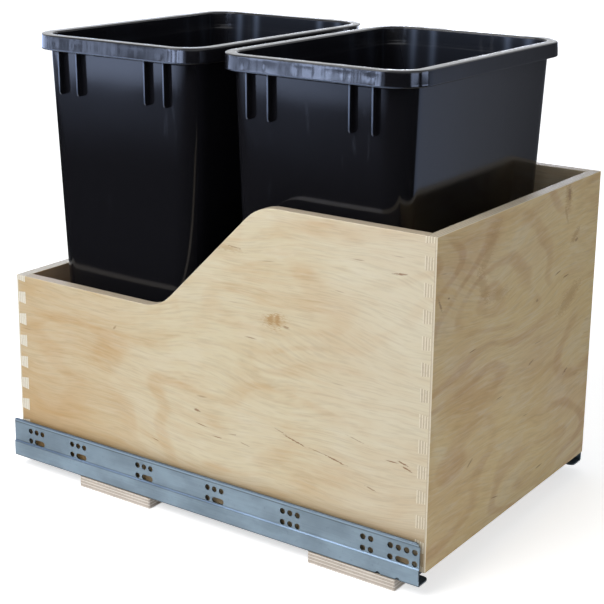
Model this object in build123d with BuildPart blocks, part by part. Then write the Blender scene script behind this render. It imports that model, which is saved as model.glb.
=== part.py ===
"""Pull-out bin frame: a dovetailed plywood box on undermount slides, with two bins.

Millimetres, +Z up, the front of the box facing -Y, the left slide at -X. The origin is on
the floor under the cross rails, half way along the unit and half way between the slides.
"""

import os
from math import radians, tan

from build123d import *

# Plywood box
box_width = 362.0
box_depth = 533.4
high_height = 330.2
low_height = 203.2
level_length = 199.5
slope_angle = 45.0
slope_radius = 50.0
panel = 12.7
edge_ease = 1.0

# Half-blind dovetails at the four corners
pin_pitch = 25.4
lap = 2.5
tail_flare = 1.3

# Bottom panel in its groove
bottom_recess = 12.7
bottom_thick = 9.0
groove_depth = 6.0

# Sheet steel and the cabinet members of the slides
steel = 1.5
bend = 2.2
lip_bend = 1.6
crease_bend = 0.4
side_gap = 4.8
slide_setback = 4.0
slide_overrun = 6.6
web_height = 44.6
web_lip = 3.0
web_corner = 6.0
box_lift = 13.6
crease_drop = 26.8
joggle = 1.2
tongue_width = 21.5
tongue_length = 12.0
tongue_round = 6.0

# Fixing holes of the cabinet members, on the 32 mm rows of cabinet making
row_pitch = 32.0
hole_pitch = 9.1
row_gap = 11.9
row_drop = 9.9
hole_diameter = 6.2
front_group = 22.8
second_group = 63.0
row_start = 154.0

# Stamped notches in the bottom edge of the web
notch_start = 26.7
notch_spacing = 22.4
notch_width = 5.8
notch_height = 3.6

# Telescopic runner, seen in section
runner_inset = 34.0
channel_half = 14.5
catch_lip = 5.0
guide_foot = 4.5
running = 0.3
roller_space = 6.0
foot_half = 13.7
head_half = 11.0
core_half = 6.0
middle_front = 17.0
middle_rear = 14.0

# Roller cages
cage_start = 150.0
cage_length = 240.0
cage_half = 10.0
cage_thick = 3.0
roller_half = 8.5
roller_count = 8

# Drawer member and its rear hook
drawer_half = 14.0
drawer_lip = 5.5
lip_clear = 0.5
hook_half = 5.0
hook_rise = 19.0
peg_diameter = 5.4
peg_reach = 8.0
peg_height = 13.0
peg_hole = 6.0
peg_hole_depth = 10.0
rear_notch_width = 35.0

# Front locking clip and its release lever
clip_setback = 1.8
clip_gap = 0.6
clip_length = 50.0
clip_width = 29.0
clip_thick = 10.0
clip_round = 4.0
latch_setback = 16.0
latch_length = 7.0
latch_thick = 5.0
latch_reach = 2.5
latch_play = 0.5
lever_width = 10.0
lever_thick = 3.6
lever_length = 24.0
pad_width = 17.0
pad_length = 5.0
pivot_inset = 18.5
pivot_setback = 33.0
pivot_diameter = 4.0
pivot_play = 0.05
pivot_head = 8.0
pivot_head_thick = 1.2
pivot_grip = 8.0

# Screws
rail_screw = 3.6
rail_screw_head = 7.6
rail_screw_length = 11.0
rail_screw_inset = 9.0
rail_screw_spacing = 64.0
clip_screw = 3.5
clip_screw_head = 6.6
clip_screw_length = 17.5
clip_screw_inset = 5.5
screw_head_thick = 2.0
screw_head_round = 0.8
screw_play = 0.3

# Cross rails under the slides
rail_thick = 12.0
rail_width = 101.6
front_rail_start = 29.6
rear_rail_start = 338.0
floor_hole = 5.0
floor_hole_sink = 9.6
floor_hole_inset = 77.3

# Waste bins, and the room left round them in the box
bin_height = 450.0
bin_side_gap = 10.4
bin_front_gap = 37.4
bin_rear_gap = 13.3
bin_between = 39.7
rim_overhang = 9.6
rim_skirt = 16.0
rim_flare = 1.3
rim_plate = 2.4
rim_round = 1.6
rim_corner = 37.0
bin_wall = 2.4
bin_floor = 3.0
bin_draft = 2.1
foot_corner = 22.0
foot_round = 9.0
fin_thick = 2.4
fin_length = 62.5
fin_inset = 0.6
fin_pitch = 25.4
fin_pair_share = 0.284

# How far a cut runs past the face it starts from
overrun = 1.0

# Widths and places along Y that follow from the sizes above
slide_length = box_depth - slide_setback + slide_overrun
slide_half = box_width / 2 + side_gap + steel
side_outer_x = box_width / 2
side_inner_x = side_outer_x - panel
front_y = -(box_depth + slide_overrun) / 2
rear_y = front_y + box_depth
front_inner_y = front_y + panel
rear_inner_y = rear_y - panel
slide_front_y = front_y + slide_setback
slide_rear_y = slide_front_y + slide_length
box_centre_y = (front_y + rear_y) / 2

# Heights: floor, cross rail, slide flange, rollers and members, box bottom
flange_z = rail_thick + steel
web_top_z = rail_thick + web_height
crease_z = web_top_z - crease_drop
box_z = rail_thick + box_lift
bottom_z = box_z + bottom_recess
floor_z = bottom_z + bottom_thick
foot_z = flange_z + roller_space
catch_z = foot_z + steel + running
catch_top_z = catch_z + steel
plate_z = bottom_z - steel
head_z = plate_z - roller_space
drawer_lip_z = head_z - 2 * steel - lip_clear
roller_diameter = roller_space - 2 * running

# The left runner, which the right one mirrors
runner_x = runner_inset - slide_half
flange_width = runner_inset + channel_half + steel
middle_front_y = front_y + middle_front
middle_rear_y = slide_rear_y - middle_rear
drawer_front_y = front_inner_y + clip_setback
hook_y = rear_y + running
drawer_rear_y = hook_y + steel

# The left clip and its lever
clip_x = runner_x + drawer_half + clip_gap
clip_y = drawer_front_y
clip_z = bottom_z - clip_thick
latch_z = bottom_z - clip_thick / 2
latch_y = clip_y + latch_setback
pivot_x = clip_x + pivot_inset
pivot_y = clip_y + pivot_setback
lever_z = clip_z - running - lever_thick
pivot_z = lever_z - running - pivot_head_thick
clip_screw_y = clip_y + clip_length - clip_screw_inset
clip_screw_places = [
    (side * (clip_x + inset), clip_screw_y)
    for side in (1, -1)
    for inset in (clip_screw_inset, clip_width - clip_screw_inset)
]

# Cross rails and their screws
rail_centres = [front_y + start + rail_width / 2 for start in (front_rail_start, rear_rail_start)]
rail_screw_x = slide_half - rail_screw_inset
floor_hole_x = slide_half - floor_hole_inset


def finish(piece, name):
    """Label a finished piece and write it to its own file."""
    piece.part.label = name
    export_step(piece.part, "parts/" + name + ".step")


def finish_pair(left, name):
    """Write a left-hand piece and its right-hand mirror image."""
    finish(left, "left_" + name)
    with BuildPart() as right:
        mirror(left.part, about=Plane.YZ)
    finish(right, "right_" + name)


def bent_sheet(end_y, points, radii, side):
    """Section of a bent sheet, one face of which runs through the points."""
    with BuildSketch(Plane.XZ.offset(-end_y)) as section:
        with BuildLine():
            FilletPolyline(*points, radius=radii)
            offset(amount=steel, side=side)
        make_face()
    return section.sketch


def tails(x, shoulder_y, end_y, height):
    """Dovetails seen from the side: narrow at the shoulder, wide at the end."""
    half_shoulder = pin_pitch / 4 - tail_flare / 2
    half_end = pin_pitch / 4 + tail_flare / 2
    with BuildSketch(Plane.YZ.offset(x)) as outlines:
        for row in range(int(height / pin_pitch)):
            middle = box_z + (row + 0.5) * pin_pitch
            with BuildLine():
                Polyline(
                    (shoulder_y, middle - half_shoulder),
                    (end_y, middle - half_end),
                    (end_y, middle + half_end),
                    (shoulder_y, middle + half_shoulder),
                    close=True,
                )
            make_face()
    return outlines.sketch


def bottom_outline():
    """Outline of the bottom panel, out to the floor of its grooves."""
    inset = 2 * (panel - groove_depth)
    with BuildSketch(Plane.XY.offset(bottom_z)) as outline:
        with Locations((0, box_centre_y)):
            Rectangle(box_width - inset, box_depth - inset)
    return outline.sketch


def end_panel(outer_y, inner_y, lap_y, height):
    """Front or back panel: eased edges, sockets for the tails, groove for the bottom."""
    with BuildPart() as end:
        with BuildSketch(Plane.XY.offset(box_z)):
            with Locations((0, (outer_y + inner_y) / 2)):
                Rectangle(box_width, panel)
        extrude(amount=height)
        outer = end.faces().sort_by(Axis.Y)[0 if outer_y < inner_y else -1]
        top = end.faces().sort_by(Axis.Z)[-1]
        fillet(ShapeList(set(outer.edges() + top.edges())), radius=edge_ease)
        for x in (-side_outer_x, side_inner_x):
            extrude(tails(x, inner_y, lap_y, height), amount=panel, mode=Mode.SUBTRACT)
        extrude(bottom_outline(), amount=bottom_thick, mode=Mode.SUBTRACT)
    return end.part


os.makedirs("parts", exist_ok=True)

# Cross rails: plywood, screwed to the cabinet floor through two countersunk holes each
for name, centre in zip(("front_cross_rail", "rear_cross_rail"), rail_centres):
    with BuildPart() as cross_rail:
        with BuildSketch():
            with Locations((0, centre)):
                Rectangle(2 * slide_half, rail_width)
        extrude(amount=rail_thick)
        chamfer(cross_rail.edges().filter_by(Axis.Z), length=edge_ease)
        with Locations(Plane.XY.offset(rail_thick)):
            with Locations((-floor_hole_x, centre), (floor_hole_x, centre)):
                CounterSinkHole(radius=floor_hole / 2, counter_sink_radius=floor_hole_sink / 2)
        with BuildSketch(Plane.XY.offset(flange_z)):
            with Locations((0, centre)):
                with GridLocations(2 * rail_screw_x, rail_screw_spacing, 2, 2):
                    Circle(rail_screw / 2)
        extrude(amount=-rail_screw_length, mode=Mode.SUBTRACT)
    finish(cross_rail, name)

# Screws through the slide flanges into the cross rails
with BuildPart() as rail_screws:
    for centre in rail_centres:
        with BuildSketch(Plane.XY.offset(flange_z)):
            with Locations((0, centre)):
                with GridLocations(2 * rail_screw_x, rail_screw_spacing, 2, 2):
                    Circle(rail_screw_head / 2)
        extrude(amount=screw_head_thick)
    fillet(rail_screws.faces().filter_by(Axis.Z).group_by(Axis.Z)[-1].edges(), radius=screw_head_round)
    for centre in rail_centres:
        with BuildSketch(Plane.XY.offset(flange_z)):
            with Locations((0, centre)):
                with GridLocations(2 * rail_screw_x, rail_screw_spacing, 2, 2):
                    Circle(rail_screw / 2)
        extrude(amount=-rail_screw_length)
finish(rail_screws, "rail_screws")

# Cabinet member: web beside the box, flange under it and a turned-up catch at its edge
web_x = -slide_half
upper_web_x = web_x + joggle
flange_edge_x = web_x + flange_width
member_section = [
    (upper_web_x + web_lip, web_top_z),
    (upper_web_x, web_top_z),
    (upper_web_x, crease_z + joggle),
    (web_x, crease_z),
    (web_x, rail_thick),
    (flange_edge_x, rail_thick),
    (flange_edge_x, catch_top_z),
    (flange_edge_x - steel - catch_lip, catch_top_z),
]
member_bends = [lip_bend, crease_bend, crease_bend, bend, bend, bend]
full_groups = [(row_start + row_pitch * rows, True) for rows in (3, 6, 9, 11)]

with BuildPart() as cabinet_member:
    extrude(bent_sheet(slide_rear_y, member_section, member_bends, Side.LEFT), amount=slide_length)

    # Front end: only a short rounded tongue of the flange reaches the end of the web
    with BuildSketch(Plane.XY.offset(rail_thick - overrun)):
        with BuildLine():
            Polyline(
                (web_x + tongue_width, slide_front_y - overrun),
                (web_x + tongue_width, slide_front_y + tongue_length),
                (flange_edge_x + overrun, slide_front_y + tongue_length),
                (flange_edge_x + overrun, slide_front_y - overrun),
                close=True,
            )
        make_face()
    extrude(amount=web_height, mode=Mode.SUBTRACT)
    tongue_tip = cabinet_member.edges().filter_by(Axis.Z).filter_by(
        lambda edge: abs(edge.center().X - web_x - tongue_width) < steel
        and abs(edge.center().Y - slide_front_y) < steel
    )
    fillet(tongue_tip, radius=tongue_round)

    # Rounded upper corner of the web at its front end
    with BuildSketch(Plane.YZ.offset(web_x - overrun)):
        with Locations((slide_front_y, web_top_z)):
            Rectangle(2 * web_corner, 2 * web_corner)
        with Locations((slide_front_y + web_corner, web_top_z - web_corner)):
            Circle(web_corner, mode=Mode.SUBTRACT)
    extrude(amount=overrun + joggle + web_lip, mode=Mode.SUBTRACT)

    # Rows of fixing holes: round ones above, a round one and a slot below
    top_row_z = web_top_z - row_drop
    low_row_z = top_row_z - row_gap
    slot_length = hole_pitch + hole_diameter
    with BuildSketch(Plane.YZ.offset(web_x - overrun)):
        for place, slotted in full_groups + [(row_start, False)]:
            group_y = front_y + place
            with Locations((group_y, top_row_z)):
                with GridLocations(hole_pitch, row_gap, 3, 1):
                    Circle(hole_diameter / 2)
            if slotted:
                with Locations((group_y + hole_pitch, low_row_z)):
                    Circle(hole_diameter / 2)
                with Locations((group_y - hole_pitch / 2, low_row_z)):
                    SlotOverall(slot_length, hole_diameter)
            else:
                with Locations((group_y, low_row_z)):
                    with GridLocations(hole_pitch, row_gap, 3, 1):
                        Circle(hole_diameter / 2)
        with Locations((front_y + second_group, (top_row_z + low_row_z) / 2)):
            with GridLocations(hole_pitch, row_gap, 2, 2):
                Circle(hole_diameter / 2)
        with Locations((front_y + front_group, top_row_z)):
            with GridLocations(hole_pitch, row_gap, 4, 1):
                Circle(hole_diameter / 2)
        with Locations((front_y + front_group, low_row_z)):
            with GridLocations(3 * hole_pitch, row_gap, 2, 1):
                Circle(hole_diameter / 2)
            SlotOverall(slot_length, hole_diameter)
    extrude(amount=2 * overrun + joggle + steel, mode=Mode.SUBTRACT)

    # Stamped notches in the bottom edge, near the front
    with BuildSketch(Plane.YZ.offset(web_x - overrun)):
        for start in (notch_start, notch_start + notch_spacing):
            with Locations((front_y + start, rail_thick)):
                SlotOverall(2 * notch_height, notch_width, rotation=90)
    extrude(amount=overrun + bend, mode=Mode.SUBTRACT)

    # Clearance holes for the screws into the cross rails
    for centre in rail_centres:
        with BuildSketch(Plane.XY.offset(flange_z + overrun)):
            with Locations((-rail_screw_x, centre)):
                with GridLocations(rail_screw_spacing, rail_screw_spacing, 1, 2):
                    Circle(rail_screw / 2 + screw_play)
        extrude(amount=-steel - 2 * overrun, mode=Mode.SUBTRACT)
finish_pair(cabinet_member, "cabinet_member")

# Guide strip: welded to the flange, it holds the outer foot of the middle member
channel_x = runner_x - channel_half
guide_section = [
    (channel_x - guide_foot, flange_z),
    (channel_x, flange_z),
    (channel_x, catch_z),
    (channel_x + catch_lip, catch_z),
]
with BuildPart() as guide_strip:
    strip_face = bent_sheet(slide_rear_y, guide_section, [bend, bend - steel], Side.LEFT)
    extrude(strip_face, amount=slide_length - tongue_length)
finish_pair(guide_strip, "guide_strip")

# Middle member: a hollow rolled section with a foot and a head flange
with BuildPart() as middle_member:
    section_height = head_z - foot_z
    with BuildSketch(Plane.XZ.offset(-middle_rear_y)):
        with Locations((runner_x, foot_z + steel / 2)):
            Rectangle(2 * foot_half, steel)
        with Locations((runner_x, head_z - steel / 2)):
            Rectangle(2 * head_half, steel)
        with Locations((runner_x, foot_z + section_height / 2)):
            Rectangle(2 * core_half, section_height)
            Rectangle(2 * (core_half - steel), section_height - 2 * steel, mode=Mode.SUBTRACT)
    extrude(amount=middle_rear_y - middle_front_y)
finish_pair(middle_member, "middle_member")

# Roller cages and rollers, one set under the middle member and one above it
roller_pitch = cage_length / roller_count
cage_centre_y = front_y + cage_start + cage_length / 2
for level, base_z in (("lower", flange_z), ("upper", head_z)):
    roller_z = base_z + roller_space / 2
    with BuildPart() as cage:
        with Locations((runner_x, cage_centre_y, roller_z)):
            Box(2 * cage_half, cage_length, cage_thick)
            with GridLocations(roller_pitch, roller_pitch, 1, roller_count):
                Box(
                    2 * (roller_half + running),
                    roller_diameter + 2 * running,
                    cage_thick,
                    mode=Mode.SUBTRACT,
                )
    finish_pair(cage, level + "_cage")
    with BuildPart() as rollers:
        with Locations((runner_x, cage_centre_y, roller_z)):
            with GridLocations(roller_pitch, roller_pitch, 1, roller_count):
                Cylinder(roller_diameter / 2, 2 * roller_half, rotation=(0, 90, 0))
    finish_pair(rollers, level + "_rollers")

# Drawer member: wraps the head of the middle member and hooks into the back panel
drawer_section = [
    (runner_x - drawer_half + drawer_lip, drawer_lip_z),
    (runner_x - drawer_half, drawer_lip_z),
    (runner_x - drawer_half, bottom_z),
    (runner_x + drawer_half, bottom_z),
    (runner_x + drawer_half, drawer_lip_z),
    (runner_x + drawer_half - drawer_lip, drawer_lip_z),
]
with BuildPart() as drawer_member:
    drawer_face = bent_sheet(drawer_rear_y, drawer_section, bend, Side.RIGHT)
    extrude(drawer_face, amount=drawer_rear_y - drawer_front_y)

    # Hook: a tab behind the back panel with a peg that enters it
    with BuildSketch(Plane.XZ.offset(-drawer_rear_y)):
        with Locations((runner_x, plate_z + (hook_rise + steel) / 2)):
            Rectangle(2 * hook_half, hook_rise + steel)
    extrude(amount=steel)
    with BuildSketch(Plane.XZ.offset(-drawer_rear_y)):
        with Locations((runner_x, bottom_z + peg_height)):
            Circle(peg_diameter / 2)
    extrude(amount=steel + peg_reach)

    # Slot in the inner leg for the latch of the front clip
    with Locations((runner_x + drawer_half, latch_y, latch_z)):
        Box(
            2 * bend,
            latch_length + 2 * latch_play,
            latch_thick + 2 * latch_play,
            mode=Mode.SUBTRACT,
        )
finish_pair(drawer_member, "drawer_member")

# Side panels: high at the front, a 45 degree slope with rounded turns, low at the back
top_z = box_z + high_height
low_top_z = box_z + low_height
slope_y = front_y + level_length
slope_end_y = slope_y + (high_height - low_height) / tan(radians(slope_angle))

with BuildPart() as side_panel:
    with BuildSketch(Plane.YZ.offset(-side_outer_x)):
        with BuildLine():
            FilletPolyline(
                (front_inner_y, box_z),
                (rear_inner_y, box_z),
                (rear_inner_y, low_top_z),
                (slope_end_y, low_top_z),
                (slope_y, top_z),
                (front_inner_y, top_z),
                radius=[0, 0, 0, slope_radius, slope_radius, 0],
                close=True,
            )
        make_face()
    extrude(amount=panel)
    top_edges = side_panel.edges().filter_by(
        lambda edge: edge.center().Z > low_top_z - overrun and edge.length > panel + overrun
    )
    fillet(top_edges, radius=edge_ease)
    extrude(tails(-side_outer_x, front_inner_y, front_y + lap, high_height), amount=panel)
    extrude(tails(-side_outer_x, rear_inner_y, rear_y - lap, low_height), amount=panel)
    extrude(bottom_outline(), amount=bottom_thick, mode=Mode.SUBTRACT)
finish_pair(side_panel, "side")

# Front panel: plain outside, its sockets stop a lap short of the front face
with BuildPart() as front_panel:
    add(end_panel(front_y, front_inner_y, front_y + lap, high_height))
finish(front_panel, "front_panel")

# Back panel: low, notched for the runners and bored for their hooks
with BuildPart() as back_panel:
    add(end_panel(rear_y, rear_inner_y, rear_y - lap, low_height))
    notch_centre_x = side_inner_x - rear_notch_width / 2
    with BuildSketch(Plane.XY.offset(box_z)):
        with Locations((-notch_centre_x, rear_y), (notch_centre_x, rear_y)):
            Rectangle(rear_notch_width, 2 * panel + 2 * overrun)
    extrude(amount=bottom_recess, mode=Mode.SUBTRACT)
    with BuildSketch(Plane.XZ.offset(-rear_y)):
        with Locations((runner_x, bottom_z + peg_height), (-runner_x, bottom_z + peg_height)):
            Circle(peg_hole / 2)
    extrude(amount=peg_hole_depth, mode=Mode.SUBTRACT)
finish(back_panel, "back_panel")

# Bottom panel: let into the grooves, bored from below for the clip screws
with BuildPart() as bottom_panel:
    extrude(bottom_outline(), amount=bottom_thick)
    with BuildSketch(Plane.XY.offset(bottom_z)):
        with Locations(*clip_screw_places):
            Circle(clip_screw / 2)
    extrude(amount=clip_screw_length - clip_thick, mode=Mode.SUBTRACT)
finish(bottom_panel, "bottom_panel")

# Front clip: screwed under the bottom panel, its latch locks into the drawer member
with BuildPart() as front_clip:
    with BuildSketch(Plane.XY.offset(clip_z)):
        with Locations((clip_x + clip_width / 2, clip_y + clip_length / 2)):
            RectangleRounded(clip_width, clip_length, clip_round)
    extrude(amount=clip_thick)
    with Locations((clip_x, latch_y, latch_z)):
        Box(
            latch_reach + clip_gap + steel,
            latch_length,
            latch_thick,
            align=(Align.MAX, Align.CENTER, Align.CENTER),
        )
    with BuildSketch(Plane.XY.offset(clip_z)):
        with Locations(*clip_screw_places[:2]):
            Circle(clip_screw / 2 + screw_play)
    extrude(amount=clip_thick, mode=Mode.SUBTRACT)
    with BuildSketch(Plane.XY.offset(clip_z)):
        with Locations((pivot_x, pivot_y)):
            Circle(pivot_diameter / 2)
    extrude(amount=pivot_grip, mode=Mode.SUBTRACT)
finish_pair(front_clip, "front_clip")

# Release lever: swings on its pin under the clip, with a cross pad for the finger
with BuildPart() as clip_lever:
    with BuildSketch(Plane.XY.offset(lever_z)):
        with Locations((pivot_x, pivot_y - lever_length / 2)):
            SlotCenterToCenter(lever_length, lever_width, rotation=90)
        with Locations((pivot_x, pivot_y - lever_length)):
            RectangleRounded(pad_width, pad_length, pad_length / 3)
        with Locations((pivot_x, pivot_y)):
            Circle(pivot_diameter / 2 + pivot_play, mode=Mode.SUBTRACT)
    extrude(amount=lever_thick)
finish_pair(clip_lever, "clip_lever")

# Lever pins: headed pins pressed up into the clips
with BuildPart() as clip_pins:
    with BuildSketch(Plane.XY.offset(pivot_z)):
        with Locations((pivot_x, pivot_y), (-pivot_x, pivot_y)):
            Circle(pivot_head / 2)
    extrude(amount=pivot_head_thick)
    with BuildSketch(Plane.XY.offset(pivot_z)):
        with Locations((pivot_x, pivot_y), (-pivot_x, pivot_y)):
            Circle(pivot_diameter / 2)
    extrude(amount=clip_z + pivot_grip - pivot_z)
finish(clip_pins, "clip_pins")

# Clip screws: pan heads under the clips, points in the bottom panel
with BuildPart() as clip_screws:
    with BuildSketch(Plane.XY.offset(clip_z)):
        with Locations(*clip_screw_places):
            Circle(clip_screw_head / 2)
    extrude(amount=-screw_head_thick)
    fillet(clip_screws.faces().filter_by(Axis.Z).group_by(Axis.Z)[0].edges(), radius=screw_head_round)
    with BuildSketch(Plane.XY.offset(clip_z)):
        with Locations(*clip_screw_places):
            Circle(clip_screw / 2)
    extrude(amount=clip_screw_length)
finish(clip_screws, "clip_screws")

# Waste bins: thin drafted walls, a rim plate with a skirt, and fins under the rim
bin_top_z = floor_z + bin_height
mouth_width = 2 * (side_inner_x - bin_side_gap)
mouth_depth = (rear_inner_y - front_inner_y - bin_front_gap - bin_between - bin_rear_gap) / 2
rim_width = mouth_width + 2 * rim_overhang
rim_depth = mouth_depth + 2 * rim_overhang
front_bin_y = front_inner_y + bin_front_gap + mouth_depth / 2
rear_bin_y = rear_inner_y - bin_rear_gap - mouth_depth / 2
mouth_corner = rim_corner - rim_overhang
draft_in = bin_height * tan(radians(bin_draft))
fin_outer_x = rim_width / 2 - rim_plate - fin_inset
fin_root_x = mouth_width / 2 - draft_in / 2


def rounded_outline(height, centre_y, width, depth, corner):
    """One rounded rectangle, level, centred on the bin."""
    with BuildSketch(Plane.XY.offset(height)) as outline:
        with Locations((0, centre_y)):
            RectangleRounded(width, depth, corner)
    return outline.sketch


def rim_outline(height, centre_y, inset):
    """The rim at one height, flaring downwards, or its hollow when inset."""
    out = rim_flare * (bin_top_z - height) / rim_skirt - inset
    return rounded_outline(height, centre_y, rim_width + 2 * out, rim_depth + 2 * out, rim_corner + out)


def body_outline(height, centre_y, inset):
    """The drafted body at one height, or the room inside it when inset."""
    down = (bin_top_z - height) / bin_height
    shrink = 2 * (draft_in * down + inset)
    corner = mouth_corner + (foot_corner - mouth_corner) * down - inset
    return rounded_outline(height, centre_y, mouth_width - shrink, mouth_depth - shrink, corner)


for name, centre_y in (("front_bin", front_bin_y), ("rear_bin", rear_bin_y)):
    skirt_z = bin_top_z - rim_skirt
    with BuildPart() as waste_bin:
        loft([rim_outline(height, centre_y, 0) for height in (skirt_z, bin_top_z)], ruled=True)
        fillet(waste_bin.faces().sort_by(Axis.Z)[-1].edges(), radius=rim_round)
        loft(
            [rim_outline(height, centre_y, rim_plate) for height in (skirt_z, bin_top_z - rim_plate)],
            ruled=True,
            mode=Mode.SUBTRACT,
        )
        loft([body_outline(height, centre_y, 0) for height in (floor_z, bin_top_z)], ruled=True)
        fillet(waste_bin.faces().sort_by(Axis.Z)[0].edges(), radius=foot_round)
        for side in (-1, 1):
            for pair in (-fin_pair_share * mouth_depth, fin_pair_share * mouth_depth):
                fin_x = side * (fin_root_x + fin_outer_x) / 2
                fin_z = bin_top_z - (rim_plate + fin_length) / 2
                with Locations((fin_x, centre_y + pair, fin_z)):
                    with GridLocations(fin_pitch, fin_pitch, 1, 2):
                        Box(fin_outer_x - fin_root_x, fin_thick, fin_length - rim_plate)
        loft(
            [body_outline(height, centre_y, bin_wall) for height in (floor_z + bin_floor, bin_top_z)],
            ruled=True,
            mode=Mode.SUBTRACT,
        )
    finish(waste_bin, name)
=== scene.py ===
"""Looks of the pull-out bin frame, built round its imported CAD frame. Metres, +Z up, front at -Y."""

import math

import bpy
import numpy as np
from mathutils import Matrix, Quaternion, Vector


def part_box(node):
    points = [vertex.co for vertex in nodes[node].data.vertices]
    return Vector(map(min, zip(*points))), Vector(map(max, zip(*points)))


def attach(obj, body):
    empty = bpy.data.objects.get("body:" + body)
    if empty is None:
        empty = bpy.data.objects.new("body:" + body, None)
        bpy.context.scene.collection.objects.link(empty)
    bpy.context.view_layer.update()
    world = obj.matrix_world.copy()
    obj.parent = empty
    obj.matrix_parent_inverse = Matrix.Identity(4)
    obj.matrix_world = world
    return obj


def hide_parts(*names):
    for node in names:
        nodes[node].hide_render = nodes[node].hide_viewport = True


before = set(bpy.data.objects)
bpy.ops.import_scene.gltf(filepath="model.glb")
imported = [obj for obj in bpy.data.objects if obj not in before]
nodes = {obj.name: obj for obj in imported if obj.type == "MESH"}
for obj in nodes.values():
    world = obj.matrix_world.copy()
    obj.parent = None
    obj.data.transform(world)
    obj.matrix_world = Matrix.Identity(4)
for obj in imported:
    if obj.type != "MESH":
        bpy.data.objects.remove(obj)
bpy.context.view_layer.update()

# The studio: a white floor under a soft white sky. A broad lamp to the left behind the box and a
# weaker one over it make its long side bright and leave its front in shade. A low dark ring that
# glows in patches is no lamp but a painted reflection: it shows only in mirror images and lights
# nothing. The camera stands at the left front.


def shade(red, green, blue):
    """Linear colour of a screen colour given in steps from 0 to 255."""
    steps = np.array([red, green, blue]) / 255
    return tuple(np.where(steps < 0.04045, steps / 12.92, ((steps + 0.055) / 1.055) ** 2.4))


def finish(name, colour, roughness, metallic=0.0):
    """A new material with one principled shader; returns the material and that shader."""
    material = bpy.data.materials.new(name)
    material.use_nodes = True
    shader = material.node_tree.nodes["Principled BSDF"]
    shader.inputs["Base Color"].default_value = (*colour, 1)
    shader.inputs["Roughness"].default_value = roughness
    shader.inputs["Metallic"].default_value = metallic
    return material, shader


def wire(material, kind, sockets, **choices):
    """Adds a shader node, sets its choices, and gives each socket a value or another node's output."""
    made = material.node_tree.nodes.new("ShaderNode" + kind)
    for choice, value in choices.items():
        setattr(made, choice, value)
    for socket, value in sockets.items():
        if isinstance(value, bpy.types.NodeSocket):
            material.node_tree.links.new(value, made.inputs[socket])
        else:
            made.inputs[socket].default_value = value
    return made


def own_place(material):
    """Object coordinates: places on the part at rest, in metres."""
    return wire(material, "TexCoord", {}).outputs["Object"]


def split(material, vector):
    """The X, Y and Z of a vector."""
    return wire(material, "SeparateXYZ", {0: vector}).outputs


def calc(material, operation, a, b=0.0):
    """Result of a Math node on two numbers."""
    return wire(material, "Math", {0: a, 1: b}, operation=operation).outputs[0]


def times(material, first, *others):
    """Product of two or more numbers."""
    for other in others:
        first = calc(material, "MULTIPLY", first, other)
    return first


def plus(material, first, *others):
    """Sum of two or more numbers."""
    for other in others:
        first = calc(material, "ADD", first, other)
    return first


def ramp(material, value, low, high, start, end):
    """start where the value is low, end where it is high, a straight line between, level beyond."""
    sockets = {"Value": value, "From Min": low, "From Max": high, "To Min": start, "To Max": end}
    return wire(material, "MapRange", sockets).outputs[0]


def between(material, value, low, high):
    """0 on the low side, 1 on the high side and a smooth rise between; low may be the larger one."""
    sockets = {"Value": value, "From Min": low, "From Max": high}
    return wire(material, "MapRange", sockets, interpolation_type="SMOOTHSTEP").outputs[0]


def mix(material, factor, a, b):
    """Colour a turning into colour b as the factor goes from 0 to 1."""
    sockets = {"Factor": factor, "A": a, "B": b}
    made = wire(material, "Mix", {}, data_type="RGBA")
    for name, value in sockets.items():
        kind = "VALUE" if name == "Factor" else "RGBA"
        socket = next(s for s in made.inputs if s.name == name and s.type == kind)
        if isinstance(value, bpy.types.NodeSocket):
            material.node_tree.links.new(value, socket)
        else:
            socket.default_value = (*value, 1) if kind == "RGBA" else value
    return next(s for s in made.outputs if s.type == "RGBA")


def noise(material, place, scale, detail=2.0, seed=0.0):
    """Noise from 0 to 1, stretched by a scale along each axis and moved along by its seed."""
    sockets = {"Vector": place, "Scale": scale, "Location": (seed, seed * 0.7, seed * 1.3)}
    stretched = wire(material, "Mapping", sockets).outputs[0]
    made = wire(material, "TexNoise", {"Vector": stretched, "Scale": 1.0, "Detail": detail})
    return made.outputs["Fac"]


def bright_to_camera(material):
    """1 for what the camera sees straight, mirrored or through glass, and 0 for light on surfaces."""
    path = wire(material, "LightPath", {})
    seen = calc(material, "MAXIMUM", path.outputs["Is Camera Ray"], path.outputs["Is Glossy Ray"])
    return calc(material, "MAXIMUM", seen, path.outputs["Is Transmission Ray"])


sky = bpy.data.worlds.new("sky")
bpy.context.scene.world = sky
sky.use_nodes = True
background = sky.node_tree.nodes["Background"]
background.inputs["Color"].default_value = (*shade(250, 252, 255), 1)
sky_level = ramp(sky, bright_to_camera(sky), 0.0, 1.0, 0.5, 1.0)
sky_height = split(sky, wire(sky, "TexCoord", {}).outputs["Generated"])["Z"]
sky_glow = times(sky, sky_level, ramp(sky, sky_height, 0.42, 0.85, 1.0, 0.35))
sky.node_tree.links.new(sky_glow, background.inputs["Strength"])

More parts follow.
